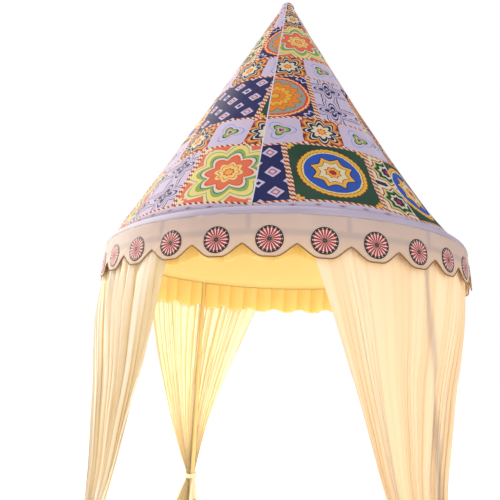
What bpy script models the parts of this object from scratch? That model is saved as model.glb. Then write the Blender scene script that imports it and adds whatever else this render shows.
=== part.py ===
"""Round pavilion tent: a tall cone roof on four posts, with a scalloped valance, an inner ruffle
and four tied door drapes.

Metres, +Z up. The origin is on the ground at the tent's centre and -Y is the front. An azimuth is
measured at the centre, from the front (0) towards +X (90).
"""
import math

import bmesh
import bpy
from mathutils import Matrix

# Driving dimensions
VALANCE_RADIUS = 1.405
PEAK_HEIGHT = 4.90
TOUCH_GAP = 0.0003

# Posts and foot plates
POST_AZIMUTHS = {"front_right": 45.0, "rear_right": 135.0, "rear_left": 225.0, "front_left": 315.0}
POST_RADIUS = 0.020
POST_FROM_CENTRE = 1.345
POST_OUTER = POST_FROM_CENTRE + POST_RADIUS
POST_TOP = 2.408
PLATE_RADIUS = 0.080
PLATE_THICKNESS = 0.006
PLATE_EDGE = 0.0015

# Ring beam: two hoops with short uprights between them, made in four quarters
SIDE_AZIMUTHS = {"front": 0.0, "right": 90.0, "rear": 180.0, "left": 270.0}
HOOP_TUBE = 0.010
HOOP_FROM_CENTRE = POST_OUTER - HOOP_TUBE
LOWER_HOOP_HEIGHT = 2.270
UPPER_HOOP_HEIGHT = 2.4055
HOOP_SEGMENTS = 12
HOOP_END_GAP = 0.001
UPRIGHT_TUBE = 0.008
UPRIGHT_STEP = 22.5

# Roof cloth: a straight cone that flares a little just above the eave
CLOTH = 0.005
ROOF_SLOPE = 0.527
ROOF_CONE_TOP = 4.875
ROOF_CONE_TOP_RADIUS = 0.040
ROOF_TOP = 4.820
ROOF_EDGE_HEIGHT = 2.430
FLARE_START = 2.720
FLARE = 0.0215
ROOF_ROWS = 7
GORES = 8
GORE_STEPS = 3
GORE_GAP_AT_PEAK = 0.00015
CAP_STEPS = 5

# Eave trim: the plain strip that rounds the shoulder between the roof and the valance
EAVE_PROFILE = (
    (1.350, 2.4297),
    (1.366, 2.4185),
    (1.380, 2.405),
    (1.390, 2.393),
    (1.3935, 2.384),
    (1.3935, 2.3806),
)
EAVE_STEPS = 72

# Valance
VALANCE_TOP = 2.380
VALANCE_TOP_RADIUS = 1.3935
VALANCE_CLOTH = 0.004
LOBE_BOTTOM = 2.135
NOTCH_TOP = 2.207
SCALLOPS = 30
SCALLOP_PITCH = 360.0 / SCALLOPS
FIRST_LOBE_AZIMUTH = 4.83
PANEL_LOBES = {"front": 8, "right": 7, "rear": 8, "left": 7}
LOBE_COLUMNS = 6
LOBE_FLAT = 0.2

# Ruffle inside the ring beam, in four panels that end at the posts. A hoop's straight segments
# come this much nearer to the centre than its corners do
HOOP_SAG = HOOP_FROM_CENTRE * (1.0 - math.cos(math.radians(45.0 / HOOP_SEGMENTS)))
RUFFLE_CLOTH = 0.012
RUFFLE_TOP = 2.385
RUFFLE_NOTCH = 2.180
RUFFLE_LOBE = 2.130
RUFFLE_LOBES = 7
RUFFLE_LOBE_COLUMNS = 4

# Rafters, crown and lining
RAFTER_TUBE = 0.010
RAFTER_AT_POST = 1.3187
CROWN_BOTTOM = 4.760
CROWN_BOTTOM_RADIUS = 0.088
CROWN_TOP_RADIUS = 0.055
LINING_CLOTH = 0.004
LINING_BOTTOM = 2.389
LINING_STEPS = 40

# Door drapes: name of the post, height of the tie, and the azimuths of both edges at each level
DRAPE_TOP = 2.292
DRAPE_LEVELS = (DRAPE_TOP, 1.90, 1.48, 1.00, 0.70)
DRAPES = {
    "front_right": (0.37, ((12.9, 75.0), (17.9, 65.5), (23.2, 54.5), (29.4, 47.8), (34.6, 47.4))),
    "rear_right": (0.50, ((106.2, 163.2), (111.2, 156.6), (117.1, 149.4), (124.3, 141.8), (129.7, 138.4))),
    "rear_left": (0.50, ((196.8, 253.8), (203.4, 248.8), (210.6, 242.9), (218.2, 235.7), (221.6, 230.3))),
    "front_left": (0.37, ((285.0, 340.6), (294.5, 337.1), (305.5, 333.3), (312.2, 327.4), (312.6, 322.0))),
}
DRAPE_HALF_THICKNESS = 0.010
DRAPE_TOP_CLEARANCE = 0.004
BUNDLE_HALF_WIDTH = 0.042
BUNDLE_HALF_THICKNESS = 0.028
TAIL_BOTTOM = 0.040
TAIL_HALF_WIDTH = 0.200
TAIL_HALF_THICKNESS = 0.020
DRAPE_SIDES = 24
DRAPE_ROWS = 9
TAIL_ROWS = 3

# Ties
TIE_TUBE = 0.0065
TIE_HALF_WIDTH = 0.0635
TIE_HALF_HEIGHT = 0.016


def new_material(name, colour, roughness, metallic=0.0):
    """A Principled material in one plain colour."""
    material = bpy.data.materials.new(name)
    material.use_nodes = True
    shader = material.node_tree.nodes["Principled BSDF"]
    shader.inputs["Base Color"].default_value = (*colour, 1.0)
    shader.inputs["Roughness"].default_value = roughness
    shader.inputs["Metallic"].default_value = metallic
    material.diffuse_color = (*colour, 1.0)
    return material


def add_object(name, mesh, material, collection):
    """An object for a mesh, in the tent's collection."""
    piece = bpy.data.objects.new(name, mesh)
    collection.objects.link(piece)
    if not mesh.materials:
        mesh.materials.append(material)
    return piece


def mesh_from(name, shape):
    """A mesh from a bmesh, which is freed."""
    mesh = bpy.data.meshes.new(name)
    shape.to_mesh(mesh)
    shape.free()
    return mesh


def baked(piece):
    """The evaluated mesh of an object, with the object removed."""
    mesh = bpy.data.meshes.new_from_object(piece.evaluated_get(bpy.context.evaluated_depsgraph_get()))
    bpy.data.objects.remove(piece)
    return mesh


def cylinder_mesh(name, radius, height, sides):
    """A closed cylinder that stands on its own origin."""
    shape = bmesh.new()
    bmesh.ops.create_cone(
        shape,
        cap_ends=True,
        segments=sides,
        radius1=radius,
        radius2=radius,
        depth=height,
        matrix=Matrix.Translation((0.0, 0.0, height / 2.0)),
    )
    return mesh_from(name, shape)


def turn_to(azimuth):
    """The rotation about Z that brings a piece made at the front to an azimuth."""
    return math.radians(azimuth)


def around(azimuth, radius, height):
    """The point at an azimuth in degrees, a radius and a height."""
    angle = math.radians(azimuth)
    return (radius * math.sin(angle), -radius * math.cos(angle), height)


def turned(name, profile, sweep, steps, thickness, material, collection, offset=-1.0):
    """A profile of (radius, height) points turned about Z by sweep degrees, with a cloth thickness.

    The profile runs from the top down. It starts at the front and turns towards growing azimuths.
    With no thickness the profile has to start and end on the axis, and gives a solid. The cloth
    lies inside the profile, or outside it with an offset of 1.
    """
    mesh = bpy.data.meshes.new(name)
    points = [around(0.0, radius, height) for radius, height in profile]
    mesh.from_pydata(points, [(i, i + 1) for i in range(len(points) - 1)], [])
    piece = add_object(name, mesh, material, collection)
    screw = piece.modifiers.new("Turn", "SCREW")
    screw.axis = "Z"
    screw.angle = math.radians(sweep)
    screw.steps = steps
    screw.render_steps = steps
    screw.use_merge_vertices = True
    screw.merge_threshold = 0.0001
    if thickness:
        solidify = piece.modifiers.new("Cloth", "SOLIDIFY")
        solidify.thickness = thickness
        solidify.offset = offset
    return piece


def band(name, columns, rows, place, thickness, offset, material, collection):
    """A band of cloth: a grid whose points place(across, down) puts in the tent, then thickened."""
    shape = bmesh.new()
    bmesh.ops.create_grid(shape, x_segments=columns, y_segments=rows, size=0.5)
    for point in shape.verts:
        point.co = place(point.co.x + 0.5, 0.5 - point.co.y)
    piece = add_object(name, mesh_from(name, shape), material, collection)
    solidify = piece.modifiers.new("Cloth", "SOLIDIFY")
    solidify.thickness = thickness
    solidify.offset = offset
    return piece


def roof_radius(height):
    """Outer radius of the roof cloth at a height."""
    cone = ROOF_CONE_TOP_RADIUS + ROOF_SLOPE * (ROOF_CONE_TOP - height)
    below = max(0.0, FLARE_START - height) / (FLARE_START - ROOF_EDGE_HEIGHT)
    return cone + FLARE * below**2


def scallop(share):
    """Height of a scalloped edge, 0 along a lobe and 1 at a notch, at a share of the way between."""
    rise = max(0.0, (share - LOBE_FLAT) / (1.0 - LOBE_FLAT))
    return 0.5 - 0.5 * math.cos(math.pi * rise)


def make_posts(collection, steel):
    """Four upright tubes, each on a round foot plate."""
    plate_mesh = cylinder_mesh("foot_plate", PLATE_RADIUS, PLATE_THICKNESS, 24)
    foot = PLATE_THICKNESS + TOUCH_GAP
    post_mesh = cylinder_mesh("post", POST_RADIUS, POST_TOP - foot, 20)
    for corner, azimuth in POST_AZIMUTHS.items():
        plate = add_object("foot_plate_" + corner, plate_mesh, steel, collection)
        plate.location = around(azimuth, POST_FROM_CENTRE, 0.0)
        edge = plate.modifiers.new("Edge", "BEVEL")
        edge.width = PLATE_EDGE
        edge.segments = 1
        post = add_object("post_" + corner, post_mesh, steel, collection)
        post.location = around(azimuth, POST_FROM_CENTRE, foot)
        post.rotation_euler.z = turn_to(azimuth)


def hoop_tube(name, height, collection):
    """One quarter of a hoop, from post to post, as a closed mesh object."""
    half = 45.0 - math.degrees(math.asin((POST_RADIUS + HOOP_END_GAP) / POST_FROM_CENTRE))
    curve = bpy.data.curves.new(name, "CURVE")
    curve.dimensions = "3D"
    curve.bevel_depth = HOOP_TUBE
    curve.bevel_resolution = 2
    curve.use_fill_caps = True
    spline = curve.splines.new("POLY")
    spline.points.add(HOOP_SEGMENTS)
    for i, point in enumerate(spline.points):
        azimuth = -half + 2.0 * half * i / HOOP_SEGMENTS
        point.co = (*around(azimuth, HOOP_FROM_CENTRE, height), 1.0)
    path = bpy.data.objects.new(name, curve)
    collection.objects.link(path)
    mesh = baked(path)
    bpy.data.curves.remove(curve)
    shape = bmesh.new()
    shape.from_mesh(mesh)
    bmesh.ops.remove_doubles(shape, verts=shape.verts, dist=0.0001)
    bmesh.ops.recalc_face_normals(shape, faces=shape.faces)
    shape.to_mesh(mesh)
    shape.free()
    tube = bpy.data.objects.new(name, mesh)
    collection.objects.link(tube)
    return tube


def make_ring_beam(collection, tools, steel):
    """The two hoops and their uprights, united a quarter at a time."""
    quarter = hoop_tube("lower_hoop", LOWER_HOOP_HEIGHT, tools)
    parts = [hoop_tube("upper_hoop", UPPER_HOOP_HEIGHT, tools)]
    upright_mesh = cylinder_mesh("upright", UPRIGHT_TUBE, UPPER_HOOP_HEIGHT - LOWER_HOOP_HEIGHT, 12)
    for i in (-1, 0, 1):
        upright = bpy.data.objects.new("upright", upright_mesh)
        tools.objects.link(upright)
        upright.location = around(i * UPRIGHT_STEP, HOOP_FROM_CENTRE, LOWER_HOOP_HEIGHT)
        upright.rotation_euler.z = turn_to(i * UPRIGHT_STEP)
        parts.append(upright)
    for part in parts:
        union = quarter.modifiers.new("Join", "BOOLEAN")
        union.operation = "UNION"
        union.solver = "EXACT"
        union.object = part
    mesh = baked(quarter)
    for part in parts:
        bpy.data.objects.remove(part)
    mesh.materials.clear()
    for side, azimuth in SIDE_AZIMUTHS.items():
        beam = add_object("ring_beam_" + side, mesh, steel, collection)
        beam.rotation_euler.z = turn_to(azimuth)


def make_roof_frame(collection, steel):
    """Four rafters from the post heads to the crown, and the crown block that joins them."""
    bottom = POST_TOP + TOUCH_GAP
    top = CROWN_BOTTOM - TOUCH_GAP
    tilt = math.atan(ROOF_SLOPE)
    shape = bmesh.new()
    middle = (bottom + top) / 2.0
    middle_radius = RAFTER_AT_POST - ROOF_SLOPE * (middle - bottom)
    place = Matrix.Translation(around(0.0, middle_radius, middle)) @ Matrix.Rotation(-tilt, 4, "X")
    bmesh.ops.create_cone(
        shape,
        cap_ends=True,
        segments=12,
        radius1=RAFTER_TUBE,
        radius2=RAFTER_TUBE,
        depth=(top - bottom) / math.cos(tilt) + 4.0 * RAFTER_TUBE,
        matrix=place,
    )
    for height, normal in ((bottom, -1.0), (top, 1.0)):
        cut = bmesh.ops.bisect_plane(
            shape,
            geom=shape.verts[:] + shape.edges[:] + shape.faces[:],
            plane_co=(0.0, 0.0, height),
            plane_no=(0.0, 0.0, normal),
            clear_outer=True,
        )
        rim = [edge for edge in cut["geom_cut"] if isinstance(edge, bmesh.types.BMEdge)]
        bmesh.ops.holes_fill(shape, edges=rim)
    bmesh.ops.recalc_face_normals(shape, faces=shape.faces)
    rafter_mesh = mesh_from("rafter", shape)
    for corner, azimuth in POST_AZIMUTHS.items():
        rafter = add_object("rafter_" + corner, rafter_mesh, steel, collection)
        rafter.rotation_euler.z = turn_to(azimuth)
    crown_height = ROOF_TOP - CROWN_BOTTOM
    shape = bmesh.new()
    bmesh.ops.create_cone(
        shape,
        cap_ends=True,
        segments=24,
        radius1=CROWN_BOTTOM_RADIUS,
        radius2=CROWN_TOP_RADIUS,
        depth=crown_height,
        matrix=Matrix.Translation((0.0, 0.0, crown_height / 2.0)),
    )
    crown = add_object("crown_block", mesh_from("crown_block", shape), steel, collection)
    crown.location.z = CROWN_BOTTOM


def make_roof(collection, cloth):
    """Eight gores of roof cloth, and the solid cap that closes the peak."""
    gap = math.degrees(GORE_GAP_AT_PEAK / roof_radius(ROOF_TOP))
    profile = []
    for i in range(ROOF_ROWS + 1):
        share = (i / ROOF_ROWS) ** 0.6
        height = ROOF_TOP + (ROOF_EDGE_HEIGHT - ROOF_TOP) * share
        flatter = 2.0 * FLARE * max(0.0, FLARE_START - height) / (FLARE_START - ROOF_EDGE_HEIGHT) ** 2
        tilt = math.atan(ROOF_SLOPE + flatter)
        profile.append((roof_radius(height) - CLOTH * math.cos(tilt), height - CLOTH * math.sin(tilt)))
    sweep = 360.0 / GORES
    first = turned("roof_gore", profile, sweep - gap, GORE_STEPS, CLOTH, cloth, collection, 1.0)
    mesh = baked(first)
    for i in range(GORES):
        gore = add_object("roof_gore_%d" % (i + 1), mesh, cloth, collection)
        gore.rotation_euler.z = turn_to(sweep * i + gap / 2.0)
    base = ROOF_TOP + TOUCH_GAP
    dome = [math.radians(90.0 * i / CAP_STEPS) for i in range(CAP_STEPS + 1)]
    cap_profile = [
        (roof_radius(base) * math.sin(climb), base + (PEAK_HEIGHT - base) * math.cos(climb)) for climb in dome
    ]
    cap_profile.append((0.0, base))
    turned("peak_cap", cap_profile, 360.0, 24, 0.0, cloth, collection)


def make_lining(collection, cloth):
    """The smooth cone of lining that hangs under the rafters."""
    rafter_reach = RAFTER_TUBE / math.cos(math.atan(ROOF_SLOPE)) + TOUCH_GAP
    bottom = POST_TOP + TOUCH_GAP
    profile = []
    for height in (CROWN_BOTTOM - TOUCH_GAP, 3.6, LINING_BOTTOM):
        rafter_axis = RAFTER_AT_POST - ROOF_SLOPE * (height - bottom)
        profile.append((rafter_axis - rafter_reach, height))
    turned("ceiling_lining", profile, 360.0, LINING_STEPS, LINING_CLOTH, cloth, collection)


def make_valance(collection, cloth):
    """Four panels of scalloped valance, joined at notches."""
    start = FIRST_LOBE_AZIMUTH - SCALLOP_PITCH * (PANEL_LOBES["front"] / 2.0 + 0.5)
    gap = math.degrees(TOUCH_GAP / VALANCE_RADIUS)
    for side, lobes in PANEL_LOBES.items():
        sweep = lobes * SCALLOP_PITCH

        def place(across, down, start=start, sweep=sweep, lobes=lobes):
            from_centre = abs((across * lobes) % 1.0 - 0.5) * 2.0
            hem = LOBE_BOTTOM + (NOTCH_TOP - LOBE_BOTTOM) * scallop(from_centre)
            height = VALANCE_TOP + (hem - VALANCE_TOP) * down
            fall = (VALANCE_TOP - height) / (VALANCE_TOP - LOBE_BOTTOM)
            radius = VALANCE_TOP_RADIUS + (VALANCE_RADIUS - VALANCE_TOP_RADIUS) * fall
            return around(start + gap / 2.0 + across * (sweep - gap), radius, height)

        columns = lobes * LOBE_COLUMNS
        band("valance_" + side, columns, 2, place, VALANCE_CLOTH, -1.0, cloth, collection)
        start += sweep


def make_ruffle(collection, cloth):
    """Four ruffle panels between the posts, on the inner side of the hoops."""
    radius = HOOP_FROM_CENTRE - HOOP_TUBE - HOOP_SAG - TOUCH_GAP - RUFFLE_CLOTH / 2.0
    half = 45.0 - math.degrees((POST_RADIUS + 2.0 * TOUCH_GAP) / radius)

    def place(across, down):
        from_centre = abs((across * RUFFLE_LOBES) % 1.0 - 0.5) * 2.0
        hem = RUFFLE_LOBE + (RUFFLE_NOTCH - RUFFLE_LOBE) * scallop(from_centre)
        height = RUFFLE_TOP + (hem - RUFFLE_TOP) * down
        return around(-half + 2.0 * half * across, radius, height)

    columns = RUFFLE_LOBES * RUFFLE_LOBE_COLUMNS
    mesh = baked(band("ruffle", columns, 1, place, RUFFLE_CLOTH, 0.0, cloth, collection))
    for side, azimuth in SIDE_AZIMUTHS.items():
        panel = add_object("ruffle_" + side, mesh, cloth, collection)
        panel.rotation_euler.z = turn_to(azimuth)


def drape_stations(corner):
    """The heights and edge azimuths that a drape's sections run between, from the hoop to the floor."""
    tie_height, edges = DRAPES[corner]
    post = POST_AZIMUTHS[corner]
    bundle = math.degrees(BUNDLE_HALF_WIDTH / POST_OUTER)
    tail = math.degrees(TAIL_HALF_WIDTH / POST_OUTER)
    hold = TIE_HALF_HEIGHT + 0.002
    stations = [(level, first, last) for level, (first, last) in zip(DRAPE_LEVELS, edges)]
    stations.append((tie_height + hold, post - bundle, post + bundle))
    stations.append((tie_height - hold, post - bundle, post + bundle))
    stations.append((TAIL_BOTTOM, post - tail, post + tail))
    return stations


def drape_section(height, stations, tie_height):
    """Azimuth, radius, half width and half thickness of a drape at a height."""
    for (upper, first, last), (lower, next_first, next_last) in zip(stations, stations[1:]):
        if height >= lower:
            break
    share = min(1.0, (upper - height) / (upper - lower))
    first += (next_first - first) * share
    last += (next_last - last) * share
    if height >= tie_height:
        away = (height - tie_height) / (DRAPE_TOP - tie_height)
        half_thickness = BUNDLE_HALF_THICKNESS + (DRAPE_HALF_THICKNESS - BUNDLE_HALF_THICKNESS) * away**0.4
    else:
        away = (tie_height - height) / (tie_height - TAIL_BOTTOM)
        half_thickness = BUNDLE_HALF_THICKNESS + (TAIL_HALF_THICKNESS - BUNDLE_HALF_THICKNESS) * away
    clearance = TOUCH_GAP + DRAPE_TOP_CLEARANCE * away
    half_width = math.radians(last - first) / 2.0 * POST_OUTER
    return (first + last) / 2.0, POST_OUTER + clearance + half_thickness, half_width, half_thickness


def make_drapes(collection, cloth):
    """Four drapes: wide along the hoop, gathered at a tie on the post, and flared below it."""
    for corner, (tie_height, edges) in DRAPES.items():
        stations = drape_stations(corner)
        shape = bmesh.new()
        bmesh.ops.create_cone(
            shape, cap_ends=True, segments=DRAPE_SIDES, radius1=1.0, radius2=1.0, depth=DRAPE_TOP - TAIL_BOTTOM
        )
        middle = (DRAPE_TOP + TAIL_BOTTOM) / 2.0
        levels = [station[0] for station in stations[1:-1]]
        levels += [DRAPE_LEVELS[-1] + (DRAPE_TOP - DRAPE_LEVELS[-1]) * (i + 0.5) / DRAPE_ROWS for i in range(DRAPE_ROWS)]
        levels += [TAIL_BOTTOM + (tie_height - TAIL_BOTTOM) * i / TAIL_ROWS for i in range(1, TAIL_ROWS)]
        for height in levels:
            bmesh.ops.bisect_plane(
                shape,
                geom=shape.verts[:] + shape.edges[:] + shape.faces[:],
                plane_co=(0.0, 0.0, height - middle),
                plane_no=(0.0, 0.0, 1.0),
            )
        for point in shape.verts:
            height = point.co.z + middle
            azimuth, radius, half_width, half_thickness = drape_section(height, stations, tie_height)
            turn = math.degrees(half_width * point.co.x / radius)
            point.co = around(azimuth + turn, radius - half_thickness * point.co.y, height)
        bmesh.ops.recalc_face_normals(shape, faces=shape.faces)
        add_object("drape_" + corner, mesh_from("drape_" + corner, shape), cloth, collection)


def make_ties(collection, cloth):
    """A band round each post and its gathered drape."""
    reach_in = POST_FROM_CENTRE - POST_RADIUS - TOUCH_GAP - TIE_TUBE
    reach_out = POST_OUTER + 2.0 * BUNDLE_HALF_THICKNESS + 3.0 * TOUCH_GAP + TIE_TUBE
    half_depth = (reach_out - reach_in) / 2.0
    bpy.ops.mesh.primitive_torus_add(
        major_segments=20, minor_segments=8, major_radius=TIE_HALF_WIDTH, minor_radius=TIE_TUBE
    )
    ring = bpy.context.object
    mesh = ring.data
    mesh.materials.clear()
    bpy.data.objects.remove(ring)
    for point in mesh.vertices:
        distance = math.hypot(point.co.x, point.co.y)
        point.co.y += point.co.y / distance * (half_depth - TIE_HALF_WIDTH)
        point.co.z *= TIE_HALF_HEIGHT / TIE_TUBE
    for corner, azimuth in POST_AZIMUTHS.items():
        tie = add_object("tie_" + corner, mesh, cloth, collection)
        tie.location = around(azimuth, (reach_in + reach_out) / 2.0, DRAPES[corner][0])
        tie.rotation_euler.z = turn_to(azimuth)


def main():
    for old in list(bpy.data.objects):
        bpy.data.objects.remove(old)
    tent = bpy.data.collections.new("Pavilion tent")
    tools = bpy.data.collections.new("Joining tools")
    for collection in (tent, tools):
        bpy.context.scene.collection.children.link(collection)
    steel = new_material("painted_steel", (0.72, 0.68, 0.60), 0.45, 0.1)
    roof_cloth = new_material("printed_roof_cloth", (0.35, 0.33, 0.42), 0.8)
    plain_cloth = new_material("plain_white_cloth", (0.85, 0.83, 0.84), 0.8)
    cream_cloth = new_material("cream_cloth", (0.86, 0.72, 0.50), 0.8)
    yellow_cloth = new_material("yellow_cloth", (0.90, 0.62, 0.18), 0.7)
    drape_cloth = new_material("drape_cloth", (0.92, 0.80, 0.52), 0.75)
    make_posts(tent, steel)
    make_ring_beam(tent, tools, steel)
    make_roof_frame(tent, steel)
    make_roof(tent, roof_cloth)
    turned("eave_trim", EAVE_PROFILE, 360.0, EAVE_STEPS, CLOTH, plain_cloth, tent)
    make_lining(tent, yellow_cloth)
    make_valance(tent, cream_cloth)
    make_ruffle(tent, yellow_cloth)
    make_drapes(tent, drape_cloth)
    make_ties(tent, drape_cloth)


main()
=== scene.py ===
# %% [markdown]
# # A round pavilion tent
#
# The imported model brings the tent's construction: posts, hoops, rafters and a plain solid for each
# piece of cloth. This lesson dresses it. Every cloth piece is remade as a real sheet with pleats,
# seams and a hem, and every surface gets a material made of nodes. Lengths are metres, +Z is up, the
# front faces -Y, and an azimuth is measured at the tent's centre from the front towards +X.

# %% Load the frame
import math
from functools import partial

import bmesh
import bpy
from mathutils import Matrix, Vector, noise


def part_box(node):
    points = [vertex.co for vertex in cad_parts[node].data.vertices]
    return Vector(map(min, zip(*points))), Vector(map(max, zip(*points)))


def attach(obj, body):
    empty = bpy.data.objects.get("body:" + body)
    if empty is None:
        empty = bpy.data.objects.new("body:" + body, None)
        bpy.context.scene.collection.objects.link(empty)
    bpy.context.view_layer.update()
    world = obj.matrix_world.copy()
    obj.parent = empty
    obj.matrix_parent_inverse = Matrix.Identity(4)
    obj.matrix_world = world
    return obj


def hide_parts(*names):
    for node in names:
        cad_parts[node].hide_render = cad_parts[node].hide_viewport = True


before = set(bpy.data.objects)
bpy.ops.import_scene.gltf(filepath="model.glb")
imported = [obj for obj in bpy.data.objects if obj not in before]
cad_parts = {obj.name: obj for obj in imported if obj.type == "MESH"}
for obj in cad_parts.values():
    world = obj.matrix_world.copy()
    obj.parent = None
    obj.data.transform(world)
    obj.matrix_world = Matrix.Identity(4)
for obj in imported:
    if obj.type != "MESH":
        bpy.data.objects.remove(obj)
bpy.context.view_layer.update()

# %% [markdown]
# ## Sizes that the pieces share
#
# The posts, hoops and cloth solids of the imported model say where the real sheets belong. So heights
# are read from their boxes where a box gives them. The plain numbers are the model's own, or were
# measured in the photograph through the recovered camera.

# %% Shared sizes
SCALLOPS = 30
PITCH = 360.0 / SCALLOPS
FIRST_LOBE = 4.83
CORNERS = {"front_right": 45.0, "rear_right": 135.0, "rear_left": 225.0, "front_left": 315.0}
SIDES = {"front": 0.0, "right": 90.0, "rear": 180.0, "left": 270.0}

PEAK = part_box("peak_cap")[1].z
ROOF_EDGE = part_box("eave_trim")[1].z
ROOF_EDGE_RADIUS = 1.350
VALANCE_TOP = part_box("valance_front")[1].z
LOBE_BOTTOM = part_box("valance_front")[0].z
VALANCE_RADIUS = 1.405
VALANCE_TOP_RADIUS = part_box("eave_trim")[1].x
HEM_RISE = 0.072
POST_OUTER = 1.365
HOOP_HEIGHT = 2.270
POLYESTER = 0.0012
SATIN = 0.0010
VOILE = 0.0008
print("peak", round(PEAK, 3), "eave", round(ROOF_EDGE, 3), "lobes", round(LOBE_BOTTOM, 3))


# %% [markdown]
# ## A few small helpers
#
# `around` turns an azimuth, a radius and a height into a point. `new_piece` makes the finished
# object: it gives a sheet the thickness of its cloth, hangs the piece on the model's one body and
# gives it its material. The object stays at the origin and its place is in its mesh, so patterns on
# object coordinates stay put. `ripple` and `waver` are smooth noise. Cloth is never even, and noise
# that depends only on the spot gives the same tent every time.

# %% Placing and finishing pieces
def around(azimuth, radius, height):
    """The point at an azimuth in degrees, a radius and a height."""
    angle = math.radians(azimuth)
    return Vector((radius * math.sin(angle), -radius * math.cos(angle), height))


def clamp(value):
    """A value kept between 0 and 1."""
    return min(1.0, max(0.0, value))


def waver(a, b, c):
    """Smooth noise from -1 to 1 at three coordinates."""
    return noise.noise(Vector((a, b, c)))


def ripple(azimuth, height, size, seed):
    """Smooth noise from -1 to 1 on the tent's surface, for slack and wrinkles of a given size."""
    return noise.noise(around(azimuth, 1.4 / size, height / size) + Vector((seed, seed, seed)))


def from_lobe(azimuth):
    """0 in the middle of a scallop and 1 at the notch beside it."""
    return abs(((azimuth - FIRST_LOBE) / PITCH + 0.5) % 1.0 - 0.5) * 2.0


def new_piece(name, shape, material, replaces=(), thickness=0.0, offset=-1.0):
    """Makes a smooth object from a bmesh and fastens it to the tent."""
    mesh = bpy.data.meshes.new(name)
    shape.to_mesh(mesh)
    shape.free()
    mesh.materials.append(material)
    for face in mesh.polygons:
        face.use_smooth = True
    piece = bpy.data.objects.new(name, mesh)
    bpy.context.scene.collection.objects.link(piece)
    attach(piece, "root")
    if replaces:
        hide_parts(*replaces)
    if thickness:
        solidify = piece.modifiers.new("Thickness", "SOLIDIFY")
        solidify.thickness = thickness
        solidify.offset = offset
    print(name, len(mesh.polygons), "faces")
    return piece


# %% [markdown]
# ## Cloth from a grid
#
# A sheet of cloth starts flat, so it starts here as a flat grid. While it is flat it gets texture
# coordinates, most of them in metres, and a mark can carry painted fold shade, where the cloth lies
# double. Then a rule for the piece moves each point into the tent. A cloth simulation could hang the
# sheets too, but these pleats follow a photograph, and a rule can be told where each one goes. A ring
# has its two ends welded afterwards, and a sheet that is given a shape is added to it.

# %% Grid to sheet
def cloth_sheet(columns, rows, place, lay, ring=False, mark=None, shape=None):
    """A bmesh grid, across and down from 0 to 1: place bends it, lay gives UVs, mark a weight."""
    if shape is None:
        shape = bmesh.new()
    layer = shape.loops.layers.uv.get("UVMap") or shape.loops.layers.uv.new("UVMap")
    painted_fold_shade = shape.verts.layers.float.new("painted_fold_shade") if mark else None
    points = bmesh.ops.create_grid(shape, x_segments=columns, y_segments=rows, size=0.5)["verts"]
    for face in {face for point in points for face in point.link_faces}:
        middle = face.calc_center_median().x + 0.5
        for loop in face.loops:
            loop[layer].uv = lay(loop.vert.co.x + 0.5, 0.5 - loop.vert.co.y, middle)
    for point in points:
        across, down = point.co.x + 0.5, 0.5 - point.co.y
        if mark:
            point[painted_fold_shade] = mark(across, down)
        point.co = place(across, down)
    if ring:
        bmesh.ops.remove_doubles(shape, verts=points, dist=0.00002)
    return shape


def ring_lay(radius, depth):
    """UVs in metres for a band of a given radius and depth."""
    return lambda across, down, middle: (across * math.tau * radius, (1.0 - down) * depth)


# %% [markdown]
# ## Adding shader nodes
#
# One function adds a node, sets its properties and fills its inputs in order. A name in capitals,
# such as "ADD", is a Math node with that operation, and "Mix RGBA" is a Mix node for colours. A
# colour is written as an sRGB hex value, as on a paint chart, and turned to the linear light that
# Blender works in.

# %% Node helper and colours
MAIN_SETTING = {"Math": "operation", "VectorMath": "operation", "Mix": "data_type"}


def linear(hex_colour):
    """An sRGB hex colour as linear RGBA."""
    channels = [int(hex_colour[i : i + 2], 16) / 255.0 for i in (1, 3, 5)]
    return (*[c / 12.92 if c <= 0.04045 else ((c + 0.055) / 1.055) ** 2.4 for c in channels], 1.0)


def node(material, kind, *values, named=None, stops=None, out=None, **settings):
    """Adds one shader node: values fill its inputs in order, named fills them by name."""
    tree = material.node_tree
    if kind.isupper():
        kind = "Math " + kind
    kind, _, choice = kind.partition(" ")
    added = tree.nodes.new("ShaderNode" + kind)
    if choice:
        settings[MAIN_SETTING[kind]] = choice
    for name, value in settings.items():
        setattr(added, name, value)
    sockets = [socket for socket in added.inputs if socket.enabled]
    filled = list(zip(sockets, values))
    filled += [(added.inputs[name], value) for name, value in (named or {}).items()]
    for socket, value in filled:
        if isinstance(value, bpy.types.NodeSocket):
            tree.links.new(value, socket)
        elif value is not None:
            socket.default_value = linear(value) if isinstance(value, str) else value
    if stops:
        ramp = added.color_ramp
        ramp.interpolation = "CONSTANT"
        while len(ramp.elements) < len(stops):
            ramp.elements.new(1.0)
        for element, (start, hex_colour) in zip(ramp.elements, stops):
            element.position = start
            element.color = linear(hex_colour)
    if out:
        return added.outputs[out]
    return next((socket for socket in added.outputs if socket.enabled), None)


def new_material(name):
    """An empty node material, and the node function tied to it."""
    material = bpy.data.materials.new(name)
    material.use_nodes = True
    material.node_tree.nodes.clear()
    return material, partial(node, material)


# %% [markdown]
# ## Woven cloth as a shader
#
# All the cloth is polyester. A dull weave scatters light with a soft sheen, and some light passes
# through, which is what makes the tent glow inside. So each cloth mixes a Principled shader with a
# Translucent one. A wave texture of scale 1 repeats every 0.314 m, so a grain of 0.003 is a pitch of
# 0.94 mm: coarser than the real 0.5 mm threads, so that the weave shows at all. A slow noise gives
# the creases of cloth that came out of a bag. The side that stands in the sun gets painted sunlight:
# its colours are painted paler, as in the photograph, where it is the palest.

# %% Cloth shader
def weave(add, grain, strength, crease):
    """A bump of crossed threads plus creases, in object space."""
    place = add("TexCoord", out="Object")
    ways = [add("TexWave", place, 1.0 / grain, 0.4, bands_direction=way, out="Fac") for way in "XZ"]
    fine = add("Bump", strength, 0.0004, None, add("ADD", *ways))
    folds = add("TexNoise", place, 5.0, 3.0, 0.55)
    return add("Bump", crease, 0.02, None, folds, fine)


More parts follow.
